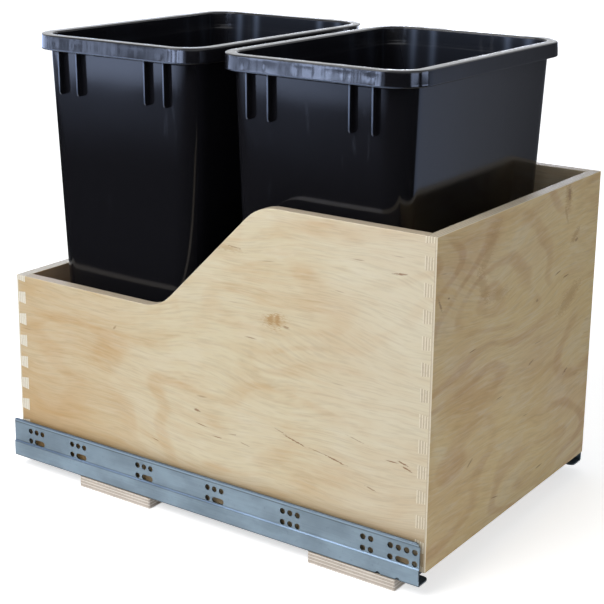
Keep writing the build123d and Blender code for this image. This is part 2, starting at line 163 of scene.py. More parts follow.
FLOOR_REACH = 6
floor_corners = [(x * FLOOR_REACH, y * FLOOR_REACH, 0) for x, y in ((-1, -1), (1, -1), (1, 1), (-1, 1))]
floor_mesh = bpy.data.meshes.new("floor")
floor_mesh.from_pydata(floor_corners, [], [(0, 1, 2, 3)])
floor = bpy.data.objects.new("floor", floor_mesh)
bpy.context.scene.collection.objects.link(floor)
floor_paint, floor_shader = finish("floor_paint", (0.86, 0.86, 0.86), 0.9)
floor_shader.inputs["Emission Color"].default_value = (1, 1, 1, 1)
floor_paths = wire(floor_paint, "LightPath", {}).outputs
floor_away = wire(floor_paint, "VectorMath", {0: own_place(floor_paint)}, operation="LENGTH")
floor_white = ramp(floor_paint, floor_away.outputs["Value"], 0.6, 2.5, 0.62, 0.85)
floor_seen = times(floor_paint, floor_paths["Is Camera Ray"], floor_white)
floor_mirrored = calc(
    floor_paint, "MAXIMUM", floor_paths["Is Glossy Ray"], floor_paths["Is Transmission Ray"]
)
floor_glow = plus(floor_paint, floor_seen, times(floor_paint, floor_mirrored, 0.3))
floor_paint.node_tree.links.new(floor_glow, floor_shader.inputs["Emission Strength"])
floor_mesh.materials.append(floor_paint)

for lamp_name, place, aim, width, height, power in (
    ("left_softbox", (-1.5, 0.45, 1.75), (-0.1, -0.1, 0.2), 1.3, 1.3, 30.0),
    ("top_softbox", (0.2, 0.3, 2.6), (0, 0, 0.2), 1.8, 1.8, 12.0),
):
    lamp = bpy.data.lights.new(lamp_name, "AREA")
    lamp.shape = "RECTANGLE"
    lamp.size = width
    lamp.size_y = height
    lamp.energy = power
    lamp_object = bpy.data.objects.new(lamp_name, lamp)
    bpy.context.scene.collection.objects.link(lamp_object)
    lamp_object.location = place
    lamp_object.rotation_mode = "QUATERNION"
    lamp_object.rotation_quaternion = (Vector(aim) - Vector(place)).to_track_quat("-Z", "Y")

TENT_WIDE = 0.5
TENT_LONG = 1.0
TENT_TOP = 0.52
TENT_SEAM = 0.45
turns = np.radians(np.arange(0, 361, 5))
tent_ring = np.stack([-TENT_WIDE * np.cos(turns), -TENT_LONG * np.sin(turns)], axis=1)
tent_points = [(x, y, z) for z in (0.0, TENT_TOP) for x, y in tent_ring.tolist()]
tent_side = len(turns)
tent_faces = [(i, i + 1, i + 1 + tent_side, i + tent_side) for i in range(tent_side - 1)]
tent_mesh = bpy.data.meshes.new("reflection_tent")
tent_mesh.from_pydata(tent_points, [], tent_faces)
tent = bpy.data.objects.new("reflection_tent", tent_mesh)
bpy.context.scene.collection.objects.link(tent)
tent_painted_reflection, tent_shader = finish("tent_painted_reflection", (0, 0, 0), 1.0)
tent_spot = own_place(tent_painted_reflection)
tent_x, tent_y, tent_z = split(tent_painted_reflection, tent_spot)

# Painted reflection under the seam at the left: a bright band with a wavy lower edge, over a dim one
tent_wave = calc(tent_painted_reflection, "COSINE", times(tent_painted_reflection, tent_y, 48.0))
tent_edge = plus(tent_painted_reflection, tent_z, times(tent_painted_reflection, tent_wave, 0.0035))
tent_upper = times(
    tent_painted_reflection,
    between(tent_painted_reflection, tent_edge, 0.360, 0.378),
    ramp(tent_painted_reflection, tent_z, 0.368, 0.393, 1.7, 3.7),
)
tent_lower = times(tent_painted_reflection, between(tent_painted_reflection, tent_z, 0.26, 0.36), 0.4)
tent_band = times(
    tent_painted_reflection,
    calc(tent_painted_reflection, "MAXIMUM", tent_upper, tent_lower),
    calc(tent_painted_reflection, "LESS_THAN", tent_z, TENT_SEAM),
    between(tent_painted_reflection, tent_y, -0.25, 0.35),
)

# Painted reflection over the seam at the left: glowing bands, mirrored by the skirts of the rims
tent_glow_bands = noise(tent_painted_reflection, tent_spot, (3, 30, 6), 2.0, 2.0)
tent_row = times(
    tent_painted_reflection,
    ramp(tent_painted_reflection, tent_y, 0.1, 0.28, 8.5, 2.6),
    ramp(tent_painted_reflection, tent_glow_bands, 0.38, 0.62, 0.15, 2.0),
    between(tent_painted_reflection, tent_y, -0.2, 0.0),
    calc(tent_painted_reflection, "GREATER_THAN", tent_z, TENT_SEAM),
)

# Painted reflection in front: a narrow strip, mirrored by the rounded corner of the front rim
tent_strip = times(
    tent_painted_reflection,
    between(tent_painted_reflection, tent_y, -0.75, -0.78),
    between(tent_painted_reflection, tent_y, -0.995, -0.98),
    between(tent_painted_reflection, tent_z, 0.41, 0.43),
    4.4,
)

# Painted reflection at the right: a dim glow that fades to the rear and a little upwards
tent_shaded = times(tent_painted_reflection, between(tent_painted_reflection, tent_z, 0.38, 0.45), 0.3)
tent_right = times(
    tent_painted_reflection,
    between(tent_painted_reflection, tent_x, 0.33, 0.36),
    ramp(tent_painted_reflection, tent_y, -0.554, -0.363, 0.74, 0.2),
    calc(tent_painted_reflection, "SUBTRACT", 1.0, tent_shaded),
)
tent_glow = tent_band
for tent_patch in (tent_row, tent_strip, tent_right):
    tent_glow = calc(tent_painted_reflection, "MAXIMUM", tent_glow, tent_patch)
tent_far = times(tent_painted_reflection, between(tent_painted_reflection, tent_x, 0.39, 0.47), 0.7)
tent_tint = mix(tent_painted_reflection, tent_far, shade(198, 216, 255), shade(228, 230, 238))
tent_links = tent_painted_reflection.node_tree.links
tent_links.new(tent_tint, tent_shader.inputs["Emission Color"])
tent_links.new(tent_glow, tent_shader.inputs["Emission Strength"])
tent_mesh.materials.append(tent_painted_reflection)
tent.visible_camera = False
tent.visible_diffuse = False
tent.visible_shadow = False

azimuth = math.radians(-55.511)
elevation = math.radians(14.859)
tilt = math.radians(0.724)
back = Vector((
    math.sin(azimuth) * math.cos(elevation),
    -math.cos(azimuth) * math.cos(elevation),
    math.sin(elevation),
))
camera = bpy.data.cameras.new("camera")
camera.lens = 85.428
camera.sensor_width = 36
camera.shift_x = 0.0017
camera.shift_y = -0.0993
camera.clip_end = 50
camera_object = bpy.data.objects.new("camera", camera)
bpy.context.scene.collection.objects.link(camera_object)
camera_object.location = (-1.26916, -0.86943, 0.67821)
camera_object.rotation_mode = "QUATERNION"
roll = Quaternion(back, tilt)
camera_object.rotation_quaternion = roll @ (-back).to_track_quat("-Z", "Y")
bpy.context.scene.camera = camera_object
bpy.context.scene.view_settings.view_transform = "Standard"

# Cross rails: two strips of birch plywood that carry the slides, screwed to the cabinet floor.
# Their sawn edges show the plies, grey-brown end grain between pale long grain and dark glue.

PANEL = 0.0127
PANEL_PLIES = 9
THIN_PLIES = 7
FIGURE_RINGS = 70.0
BIRCH = shade(216, 202, 175)
HONEY = shade(198, 156, 96)
STREAK = shade(136, 90, 48)
LONG_GRAIN = shade(222, 208, 184)
END_GRAIN = shade(204, 186, 158)
GLUE = shade(120, 92, 64)


def mark(material, sheet, ragged, place, length, width, turn):
    """1 inside a slanted oval mark on a face and 0 outside, with a ragged rim.

    The face's point is moved, turned and scaled so that the oval is a circle of radius one, and
    noise is added to its distance from the middle.
    """
    sockets = {"Vector": sheet, "Rotation": (0, 0, math.radians(turn))}
    sockets["Location"] = (*place, 0)
    sockets["Scale"] = (length / 2, width / 2, 1)
    inside = wire(material, "Mapping", sockets, vector_type="TEXTURE").outputs[0]
    away = wire(material, "VectorMath", {0: inside}, operation="LENGTH").outputs["Value"]
    return between(material, plus(material, away, ragged), 1.9, 1.3)


def browned_side_with_painted_light(material, face, along, height, strength):
    """A side's face, browner at its rear foot, painted shade in a band along the slide, and painted light
    that makes its front paler.
    """
    rear = between(material, along, 0.0, 0.27)
    foot = between(material, height, 0.16, 0.04)
    warmth = times(material, rear, plus(material, times(material, foot, 0.8), 0.35), strength)
    face = mix(material, warmth, face, shade(192, 148, 82))
    # Painted light: paler towards the front
    pale = times(material, between(material, along, -0.08, -0.24), 0.45)
    face = mix(material, pale, face, shade(226, 219, 199))
    # Painted shade: a brown band just above the slide
    low_band = times(material, between(material, height, 0.076, 0.052), 0.6)
    return mix(material, low_band, face, shade(158, 124, 76))


def sawn_edge(material, place, depth, plies, ends, lines, seed):
    """Long grain and end grain in turn, with dark glue between the plies and grit all over.

    The depth, from 0 to 1 through the sheet, is counted in plies: whether the count is odd tells
    the two grains apart, and its fraction tells how near the glue is.
    """
    counted = times(material, depth, float(plies))
    in_pair = calc(material, "FRACT", times(material, counted, 0.5))
    crosswise = calc(material, "GREATER_THAN", in_pair, 0.5)
    from_middle = calc(material, "SUBTRACT", calc(material, "FRACT", counted), 0.5)
    glue = between(material, calc(material, "ABSOLUTE", from_middle), 0.38, 0.48)
    grit = noise(material, place, (420, 420, 420), 2.0, seed + 3)
    uneven = between(material, noise(material, place, (30, 30, 30), 2.0, seed + 7), 0.2, 0.7)
    edge = mix(material, crosswise, *ends)
    edge = mix(material, times(material, glue, uneven, lines), edge, GLUE)
    return mix(material, times(material, between(material, grit, 0.5, 0.8), 0.2), edge, GLUE)


def plywood(
    name, grain, through, start, seed, thickness=PANEL, plies=PANEL_PLIES, figure=1.0, tint=BIRCH,
    ends=(LONG_GRAIN, END_GRAIN), lines=0.6, spots=(), warm_side=0.0, inside=0,
):
    """Birch plywood with its plies stacked from start along the through axis.

    Faces: contour lines of a stretched noise make the figure of rotary-cut veneer, as strong as
    figure says; fine stretched noise makes fibres, and long thin cells make brown streaks that
    follow the figure. Each spot is a mark with its place, length, width, turn, strength and colour.
    warm_side is how far a side is browned; such a side also gets painted shade along the slide and
    painted light at its front. The face that looks the way of inside, 1 or -1 along the through axis,
    gets painted shade: browner, as in the shade inside the box. Edges: ends are the colours of long
    and end grain, lines is how dark the glue is, and edges that look up are greyed.
    """
    material, shader = finish(name, tint, 0.46)
    place = own_place(material)
    axes = split(material, place)
    normal = split(material, wire(material, "TexCoord", {}).outputs["Normal"])
    across = next(axis for axis in "XYZ" if axis not in (grain, through))
    sheet = wire(material, "CombineXYZ", {0: axes[grain], 1: axes[across], 2: 0.0}).outputs[0]

    terrain = noise(material, sheet, (3.0, 7.5, 1), 1.6, seed)
    contours = calc(material, "SINE", times(material, terrain, FIGURE_RINGS))
    late_wood = between(material, contours, 0.0, 1.0)
    patches = between(material, noise(material, sheet, (3.6, 5.5, 1), 2.5, seed + 5), 0.44, 0.72)
    clouds = noise(material, sheet, (9, 13, 1), 3.0, seed + 17)
    eddies = noise(material, sheet, (13, 26, 1), 1.5, seed + 33)
    lean = plus(material, times(material, terrain, 0.10), times(material, eddies, 0.006))
    follow = plus(material, axes[across], lean)
    flow = wire(material, "CombineXYZ", {0: axes[grain], 1: follow, 2: seed}).outputs[0]
    fibres = noise(material, flow, (42, 620, 1), 3.0, seed + 9)
    veins = noise(material, flow, (13, 150, 1), 4.0, seed + 13)
    mottle = noise(material, flow, (16, 52, 1), 4.5, seed + 37)
    flecks = noise(material, flow, (34, 260, 1), 3.0, seed + 41)

    cells = wire(material, "VectorMath", {0: flow, 1: (48, 560, 1)}, operation="MULTIPLY").outputs[0]
    streak_cells = wire(material, "TexVoronoi", {"Vector": cells, "Scale": 1.0})
    chance = wire(material, "SeparateColor", {0: streak_cells.outputs["Color"]}).outputs
    crowd = between(material, noise(material, sheet, (6, 9, 1), 1.0, seed + 21), 0.45, 0.75)
    picked = plus(material, chance[0], times(material, crowd, 0.012))
    rare = calc(material, "GREATER_THAN", picked, 0.9945)
    core = between(material, streak_cells.outputs["Distance"], 0.5, 0.15)
    streaks = times(material, rare, core, chance[1])

    tone = plus(
        material,
        times(material, late_wood, between(material, clouds, 0.38, 0.62), 0.26 * figure),
        times(material, patches, 0.28 * figure),
        times(material, between(material, veins, 0.44, 0.66), 0.17),
        times(material, between(material, mottle, 0.50, 0.68), 0.20),
    )
    face = mix(material, tone, tint, HONEY)
    cream = plus(
        material,
        times(material, between(material, flecks, 0.50, 0.36), 0.12),
        times(material, between(material, mottle, 0.47, 0.35), 0.14),
    )
    face = mix(material, cream, face, shade(232, 226, 208))
    if warm_side:
        face = browned_side_with_painted_light(material, face, axes[grain], axes[across], warm_side)
    milky = times(material, between(material, clouds, 0.35, 0.7), 0.16)
    face = mix(material, milky, face, LONG_GRAIN)
    dark_fibres = times(material, between(material, fibres, 0.42, 0.72), 0.16)
    face = mix(material, dark_fibres, face, shade(140, 110, 72))
    face = mix(material, streaks, face, STREAK)
    ragged = times(material, noise(material, sheet, (260, 1100, 1), 3.0, seed + 29), 1.9)
    for spot, length, width, turn, strength, stain in spots:
        patch = mark(material, sheet, ragged, spot, length, width, turn)
        face = mix(material, times(material, patch, strength), face, stain)
    # Painted shade: the face looking into the box is browner, as in the shade inside it
    if inside:
        painted_inner_shade = between(material, times(material, normal[through], float(inside)), 0.6, 0.9)
        face = mix(material, times(material, painted_inner_shade, 0.4), face, shade(182, 112, 40))

    depth = calc(material, "DIVIDE", calc(material, "SUBTRACT", axes[through], start), thickness)
    edge = sawn_edge(material, place, depth, plies, ends, lines, seed)
    upward = times(material, between(material, normal["Z"], 0.6, 0.9), 0.3)
    edge = mix(material, upward, edge, shade(138, 124, 102))
    flat = between(material, calc(material, "ABSOLUTE", normal[through]), 0.6, 0.8)
    links = material.node_tree.links
    links.new(mix(material, flat, edge, face), shader.inputs["Base Color"])
    relief = calc(material, "SUBTRACT", times(material, fibres, 0.4), streaks)
    bump = wire(material, "Bump", {"Height": relief, "Strength": 0.25, "Distance": 0.0002})
    links.new(bump.outputs[0], shader.inputs["Normal"])
    links.new(ramp(material, veins, 0.0, 1.0, 0.40, 0.55), shader.inputs["Roughness"])
    return material


def dress(names, material):
    """Gives one material to CAD nodes in place of what they were packed with."""
    for name in names:
        nodes[name].data.materials.clear()
        nodes[name].data.materials.append(material)


rail_edges = (shade(236, 228, 218), shade(206, 192, 178))
for rail, rail_seed in (("front_cross_rail", 3.1), ("rear_cross_rail", 7.7)):
    rail_low, rail_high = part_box(rail)
    rail_thick = rail_high.z - rail_low.z
    dress([rail], plywood(
        rail + "_plywood", "X", "Z", rail_low.z, rail_seed, rail_thick, THIN_PLIES,
        tint=shade(222, 210, 194), ends=rail_edges, lines=1.0,
    ))

# Cabinet members and guide strips: sheet steel 1.5 mm thick, pierced, folded and zinc plated to a
# pale blue-grey. They are screwed down to the cross rails, the guide strips welded to them.

ZINC = shade(146, 166, 182)
CREASE_DROP = 0.0262
WEB_FROM = 0.18
WEB_RIM = 0.006


def zinc_plate(name, colour, dull, seed, web=()):
    """Zinc-plated steel: cloudy passivation, stains and specks, faint rolling lines along the strip.

    Where the strip has a web, the heights of its foot and its top place its painted shade and highlight.
    """
    material, shader = finish(name, colour, dull, 0.82)
    place = own_place(material)
    clouds = noise(material, place, (22, 16, 30), 4.0, seed)
    stains = between(material, noise(material, place, (60, 24, 75), 4.0, seed + 6), 0.5, 0.68)
    lines = noise(material, place, (900, 6, 900), 2.0, seed + 4)
    specks = between(material, noise(material, place, (260, 260, 260), 1.0, seed + 8), 0.66, 0.8)
    shaded = tuple(channel * 0.6 for channel in colour)
    darker = tuple(channel * 0.5 for channel in colour)
    paler = tuple(min(channel * 1.3 + 0.05, 1.0) for channel in colour)
    tint = mix(material, between(material, clouds, 0.30, 0.72), shaded, colour)
    tint = mix(material, times(material, lines, 0.25), tint, paler)
    tint = mix(material, times(material, stains, 0.3), tint, darker)
    tint = mix(material, times(material, specks, 0.25), tint, darker)
    if web:
        tint = web_painted_shading(material, place, tint, colour, darker, paler, *web)
    links = material.node_tree.links
    links.new(tint, shader.inputs["Base Color"])
    links.new(ramp(material, clouds, 0.0, 1.0, dull - 0.08, dull + 0.12), shader.inputs["Roughness"])
    bump = wire(material, "Bump", {"Height": lines, "Strength": 0.12, "Distance": 0.0001})
    links.new(bump.outputs[0], shader.inputs["Normal"])
    return material


def web_painted_shading(material, place, tint, colour, darker, paler, foot, top):
    """The tint of a web with painted shade and a painted highlight, from its foot to its top.

    Painted shade darkens it over the crease and in the crease, towards the rear, and darkens the
    fold under the top, the lower edge and the inside of the holes. A painted highlight runs along the
    roll under the top, with painted shade in a dark line along the top.
    Only the web lies further out sideways than WEB_FROM, and its holes keep WEB_RIM from its edges.
    """
    sideways, along, height = split(material, place)
    black = tuple(channel * 0.12 for channel in colour)
    below_top = calc(material, "SUBTRACT", top, height)
    # Painted shade: darker over the crease towards the rear
    over_crease = between(material, below_top, CREASE_DROP + 0.0008, CREASE_DROP - 0.0022)
    painted_rear_shade = times(material, between(material, along, -0.05, 0.25), over_crease, 0.3)
    tint = mix(material, painted_rear_shade, tint, darker)
    # Painted shade in the crease, towards the rear
    from_crease = calc(material, "ABSOLUTE", calc(material, "SUBTRACT", below_top, CREASE_DROP))
    in_crease = between(material, from_crease, 0.0020, 0.0010)
    painted_crease_shade = times(material, in_crease, 0.4, between(material, along, -0.12, 0.02))
    tint = mix(material, painted_crease_shade, tint, black)
    # Painted shade in the fold under the top
    fold = times(material, between(material, below_top, 0.0042, 0.0028), 0.8)
    tint = mix(material, fold, tint, tuple(channel * 0.32 for channel in colour))
    # Painted shade along the lower edge
    over_foot = calc(material, "SUBTRACT", height, foot)
    low_edge = times(material, between(material, over_foot, 0.0026, 0.0010), 0.8)
    tint = mix(material, low_edge, tint, black)

    # Painted shade inside the holes, on their walls that face sideways
    facing = split(material, wire(material, "TexCoord", {}).outputs["Normal"])["X"]
    in_hole = times(
        material,
        calc(material, "LESS_THAN", calc(material, "ABSOLUTE", facing), 0.5),
        calc(material, "GREATER_THAN", calc(material, "ABSOLUTE", sideways), WEB_FROM),
        calc(material, "GREATER_THAN", below_top, WEB_RIM),
        calc(material, "GREATER_THAN", height, foot + WEB_RIM),
        0.85,
    )
    tint = mix(material, in_hole, tint, black)
    # A painted highlight along the roll under the top, and painted shade in a dark line along the top
    painted_sheen = times(material, between(material, below_top, 0.0026, 0.0018), 0.8)
    tint = mix(material, painted_sheen, tint, paler)
    top_line = times(material, between(material, below_top, 0.0009, 0.0005), 0.6)
    return mix(material, top_line, tint, black)


member_low, member_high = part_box("left_cabinet_member")
web_zinc = zinc_plate("web_zinc", ZINC, 0.36, 1.0, (member_low.z, member_high.z))
dress(["left_cabinet_member", "right_cabinet_member", "left_guide_strip", "right_guide_strip"], web_zinc)

# Middle and drawer members: the moving steel sections of the slides, rolled from the same plated
# strip. The middle members, on which the rollers run, are a brighter zinc; the drawer members hook
# into the back of the box.

roller_track_zinc = zinc_plate("roller_track_zinc", shade(160, 172, 186), 0.3, 12.0)
dress(["left_middle_member", "right_middle_member"], roller_track_zinc)
dress(["left_drawer_member", "right_drawer_member"], zinc_plate("drawer_member_zinc", ZINC, 0.38, 17.0))

# Screws and pins: small turned steel parts, bright zinc, pressed or screwed in.

bright_steel = zinc_plate("bright_screw_steel", shade(196, 198, 198), 0.28, 23.0)
dress(["rail_screws", "clip_screws", "clip_pins"], bright_steel)

# Roller cages, rollers, clips and levers: injection-moulded plastic, matt with a fine mould grain.
# The cages space the nylon rollers; the clips are screwed under the box and carry the levers.


def moulding(name, colour, dull, grain_size, seed):
    """Matt moulded plastic: a fine even grain in the relief, and a slight cloudiness."""
    material, shader = finish(name, colour, dull)
    place = own_place(material)
    grain = noise(material, place, (grain_size, grain_size, grain_size), 2.0, seed)
    cloud = noise(material, place, (30, 30, 30), 2.0, seed + 6)
    deeper = tuple(channel * 0.8 for channel in colour)
    links = material.node_tree.links
    links.new(mix(material, cloud, deeper, colour), shader.inputs["Base Color"])
    bump = wire(material, "Bump", {"Height": grain, "Strength": 0.2, "Distance": 0.0002})
    links.new(bump.outputs[0], shader.inputs["Normal"])
    links.new(ramp(material, grain, 0.0, 1.0, dull - 0.06, dull + 0.06), shader.inputs["Roughness"])
    return material


for plastic_name, colour, dull, grain_size, seed, moulded in (
    ("cage_plastic", shade(78, 80, 84), 0.5, 700, 2.0, ("lower_cage", "upper_cage")),
    ("roller_nylon", shade(232, 230, 220), 0.42, 500, 5.0, ("lower_rollers", "upper_rollers")),
    ("clip_plastic", shade(70, 72, 76), 0.52, 800, 8.0, ("front_clip",)),
    ("lever_plastic", shade(222, 104, 36), 0.46, 800, 11.0, ("clip_lever",)),
):
    plastic = moulding(plastic_name, colour, dull, grain_size, seed)
    dress([hand + piece for hand in ("left_", "right_") for piece in moulded], plastic)

# Drawer box: five panels of birch plywood half an inch thick, sanded and lacquered clear. Half-blind
# dovetails join the sides to the front and the back, and the bottom is let into grooves.

side_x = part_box("right_side")[1].x
front_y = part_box("front_panel")[0].y
back_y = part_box("back_panel")[1].y
bottom_low, bottom_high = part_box("bottom_panel")
bottom_thick = bottom_high.z - bottom_low.z
WARM = shade(178, 136, 78)

# Marks in the wood: place along the panel and height, length, width, turn, strength and colour
left_side_marks = (
    ((-0.0910, 0.2426), 0.040, 0.022, -12, 0.45, WARM),
    ((-0.0870, 0.2430), 0.010, 0.016, 15, 0.60, WARM),
    ((-0.0950, 0.2445), 0.008, 0.018, -15, 0.65, WARM),
    ((-0.1060, 0.2390), 0.010, 0.004, 8, 0.50, STREAK),
    ((0.0063, 0.1267), 0.012, 0.0034, 8, 0.8, STREAK),
    ((-0.1180, 0.1230), 0.034, 0.0018, 14, 0.9, STREAK),
    ((-0.1430, 0.1190), 0.030, 0.0014, 8, 0.5, STREAK),
    ((-0.1653, 0.1151), 0.030, 0.0022, 12, 0.9, STREAK),
    ((-0.1000, 0.1290), 0.022, 0.0014, 16, 0.5, STREAK),
    ((-0.2322, 0.3153), 0.018, 0.0028, -8, 0.8, STREAK),
    ((-0.2420, 0.1310), 0.016, 0.0024, 12, 0.9, STREAK),
    ((-0.2460, 0.1265), 0.014, 0.0024, 15, 0.9, STREAK),
    ((-0.2070, 0.0960), 0.016, 0.0018, 14, 0.6, STREAK),
    ((0.1180, 0.1950), 0.007, 0.0034, -40, 0.5, STREAK),
    ((-0.0560, 0.1040), 0.020, 0.0016, 10, 0.45, STREAK),
    ((-0.1900, 0.1420), 0.026, 0.0014, 12, 0.5, STREAK),
    ((-0.0330, 0.3080), 0.050, 0.008, 4, 0.35, WARM),
    ((-0.0420, 0.3100), 0.020, 0.0026, 5, 0.5, STREAK),
)
dress(["left_side"], plywood(
    "left_side_plywood", "Y", "X", -side_x, 0.4, figure=1.3, tint=shade(219, 206, 174),
    spots=left_side_marks, warm_side=0.7,
))
dress(["right_side"], plywood("right_side_plywood", "Y", "X", side_x - PANEL, 31.0))
front_marks = (
    ((0.0990, 0.3440), 0.022, 0.046, 10, 0.5, WARM),
    ((0.1010, 0.3440), 0.009, 0.020, 10, 0.5, STREAK),
    ((0.0955, 0.3250), 0.006, 0.034, 25, 0.45, WARM),
    ((0.1217, 0.2953), 0.034, 0.012, 35, 0.5, WARM),
    ((0.1250, 0.2900), 0.012, 0.005, 10, 0.6, STREAK),
    ((0.1170, 0.1436), 0.016, 0.004, 20, 0.7, STREAK),
    ((-0.1722, 0.2905), 0.004, 0.020, 30, 0.6, STREAK),
    ((-0.1560, 0.2930), 0.005, 0.003, 0, 0.7, STREAK),
    ((0.0350, 0.2440), 0.007, 0.004, 0, 0.5, STREAK),
    ((-0.1000, 0.1100), 0.018, 0.0030, 30, 0.6, STREAK),
    ((0.0280, 0.1780), 0.016, 0.0030, 15, 0.6, STREAK),
    ((-0.0780, 0.3225), 0.080, 0.022, 50, 0.35, WARM),
    ((-0.0880, 0.2880), 0.055, 0.020, -60, 0.35, WARM),
    ((-0.0550, 0.2720), 0.070, 0.016, -3, 0.35, WARM),
    ((0.1150, 0.2270), 0.080, 0.026, 25, 0.45, WARM),
)
dress(["front_panel"], plywood(
    "front_plywood", "X", "Y", front_y, 52.0, figure=2.4, tint=shade(222, 196, 138), spots=front_marks,
    ends=(shade(235, 225, 203), shade(206, 190, 162)), lines=0.8,
))
dress(["back_panel"], plywood(
    "back_plywood", "X", "Y", back_y - PANEL, 73.0,
    ends=(shade(240, 235, 220), shade(226, 216, 196)), lines=0.5, inside=-1,
))
bottom_plywood = plywood("bottom_plywood", "Y", "Z", bottom_low.z, 94.0, bottom_thick, THIN_PLIES)
dress(["bottom_panel"], bottom_plywood)

# Waste bins: glossy black polypropylene, moulded in one piece with thin drafted walls. A rolled
# rim with a skirt stiffens the mouth, and fins under it dent the skirt a little. Painted highlights
# pale the hem and the fins' outer edges, and painted light pales the inside walls near the top, most
# behind the fins.

bin_low, bin_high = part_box("front_bin")
BIN_TOP = bin_high.z
BIN_FLOOR = bin_low.z
BIN_HEIGHT = BIN_TOP - BIN_FLOOR
MOUTH_X = 0.1579
MOUTH_Y = 0.1044
DRAFT = BIN_HEIGHT * math.tan(math.radians(2.1))
WALL = 0.0024
CORNER = 0.0274
FOOT_CORNER = 0.0220
FOOT_ROUND = 0.009
SIDE_BOW = 0.0011
END_BOW = 0.0016

# The rim with its skirt, then the step inside and the floor
RIM_OUT = 0.0096
RIM_ROOT_ROUND = 0.002
RIM_UNDERSIDE = 0.004
SKIRT = 0.016
SKIRT_FLARE = 0.0013
HEM_ROUND = 0.0012
BROW_ROUND = 0.0013
LIP_ROUND = 0.0016
STEP_DROP = 0.015
STEP_LENGTH = 0.006
STEP_IN = 0.0004
FLOOR_THICK = 0.003
FLOOR_ROUND = 0.006

# The fins, two pairs on each side, their dents in the skirt, and the painted pale lines behind them
# inside
FIN_PAIR = 0.284 * 2 * MOUTH_Y
FIN_PITCH = 0.0254
FIN_THICK = 0.0022
FIN_DROP = 0.002
FIN_INSET = 0.0002
FIN_LENGTH = 0.06
FIN_LEAN = 0.0012
FIN_TIP_FROM = 0.0575
FIN_TIP = 0.0032
FIN_TIP_IN = 0.0025
FIN_END = 0.0606
DENT_DEPTH = 0.0003
DENT_WIDTH = 0.0021
PALE_WIDTH = 0.0042
PALE_DEPTH = 0.11
RIPPLE = 0.00009


def outline(arc_steps, long_steps, short_steps):
    """A rounded rectangle as four numbers per point, counter-clockwise from above.

    The first two, from -1 to 1, say how far the point's corner centre is along X and Y, and the
    last two are the direction from there, so that every ring uses the same points.
    """
    parts = []
    for quarter, steps in enumerate((short_steps, long_steps, short_steps, long_steps)):
        turn = quarter * math.pi / 2
        along = np.linspace(-1, 1, steps + 1)[1:-1]
        out_x, out_y = math.cos(turn), math.sin(turn)
        straight = np.stack([
            out_x - out_y * along,
            out_y + out_x * along,
            np.full(along.shape, out_x),
            np.full(along.shape, out_y),
        ])
        angles = turn + np.linspace(0, math.pi / 2, arc_steps + 1)
        corner = np.stack([
            np.full(angles.shape, out_x - out_y),
            np.full(angles.shape, out_y + out_x),
            np.cos(angles),
            np.sin(angles),
        ])
        parts += [straight, corner]
    return np.concatenate(parts, axis=1)


def bin_profile():
    """Rings of the bin from under its foot, over the rim and down inside to the floor.

    One row per ring: how far it stands out from the drafted outside of the wall, its height, and
    which marks it shows: 1 the skirt's dents, 2 the painted pale lines inside, 3 the painted
    highlight on the hem.
    Arcs are parts of circles in even steps, and the step inside is a half wave.
    """
    arc = np.linspace(0, math.pi / 2, 7)
    foot = [
        (-FOOT_ROUND * (1 - math.sin(a)), BIN_FLOOR + FOOT_ROUND * (1 - math.cos(a)), 0) for a in arc
    ]
    wall = [(0, z, 0) for z in np.linspace(BIN_FLOOR + 0.02, BIN_TOP - 0.006, 22)]
    root = [
        (RIM_ROOT_ROUND * (1 - math.cos(a)), BIN_TOP - WALL - RIM_ROOT_ROUND * (1 - math.sin(a)), 0)
        for a in arc
    ]
    under_rim = RIM_OUT - WALL
    inner_skirt = [
        (under_rim, BIN_TOP - RIM_UNDERSIDE, 0),
        (under_rim + SKIRT_FLARE, BIN_TOP - SKIRT + HEM_ROUND / 2, 0),
    ]
    hem = [
        (
            RIM_OUT - HEM_ROUND + SKIRT_FLARE - HEM_ROUND * math.cos(a),
            BIN_TOP - SKIRT + HEM_ROUND - HEM_ROUND * math.sin(a),
            3 if a > 1.9 else 0,
        )
        for a in np.linspace(0.4, math.pi - 0.15, 9)
    ]
    skirt = [(RIM_OUT + SKIRT_FLARE * t, BIN_TOP - SKIRT * t, 1) for t in np.linspace(0.88, 0.14, 8)]
    brow = [
        (RIM_OUT - BROW_ROUND * (1 - math.cos(a)), BIN_TOP - BROW_ROUND * (1 - math.sin(a)), 0)
        for a in arc
    ]
    lip = [
        (-WALL + LIP_ROUND * (1 - math.sin(a)), BIN_TOP - LIP_ROUND * (1 - math.cos(a)), 0) for a in arc
    ]
    step = [(-WALL, BIN_TOP - 0.0025, 2), (-WALL, BIN_TOP - STEP_DROP + 0.002, 2)]
    step += [
        (-WALL - STEP_IN / 2 * (1 - math.cos(math.pi * t)), BIN_TOP - STEP_DROP - STEP_LENGTH * t, 2)
        for t in np.linspace(0, 1, 7)
    ]
    lining = -WALL - STEP_IN
    inside = [(lining, z, 2) for z in np.linspace(BIN_TOP - 0.024, BIN_FLOOR + 0.012, 22)]
    floor_top = BIN_FLOOR + FLOOR_THICK
    floor_arc = [
        (lining - FLOOR_ROUND * (1 - math.cos(a)), floor_top + FLOOR_ROUND * (1 - math.sin(a)), 0)
        for a in arc
    ]
    outer_rings = foot + wall + root + inner_skirt + hem + skirt + brow
    return np.array(outer_rings + lip + step + inside + floor_arc)


def near_fins(y, width):
    """Sum over a side's four fins of the bell curve exp(-(distance / width)^2)."""
    return sum(
        np.exp(-(((y - pair * FIN_PAIR - side * FIN_PITCH / 2) / width) ** 2))
        for pair in (-1, 1)
        for side in (-1, 1)
    )


def lofted(rings, count):
    """Faces between neighbouring rings of count points, and one over each end, as arrays of corners."""
    here = np.arange(count)
    beside = (here + 1) % count
    start = np.arange(rings - 1)[:, None] * count
    quads = np.stack([start + here, start + beside, start + count + beside, start + count + here], axis=2)
    return [quads.reshape(-1, 4), here[None, ::-1], here[None] + (rings - 1) * count]


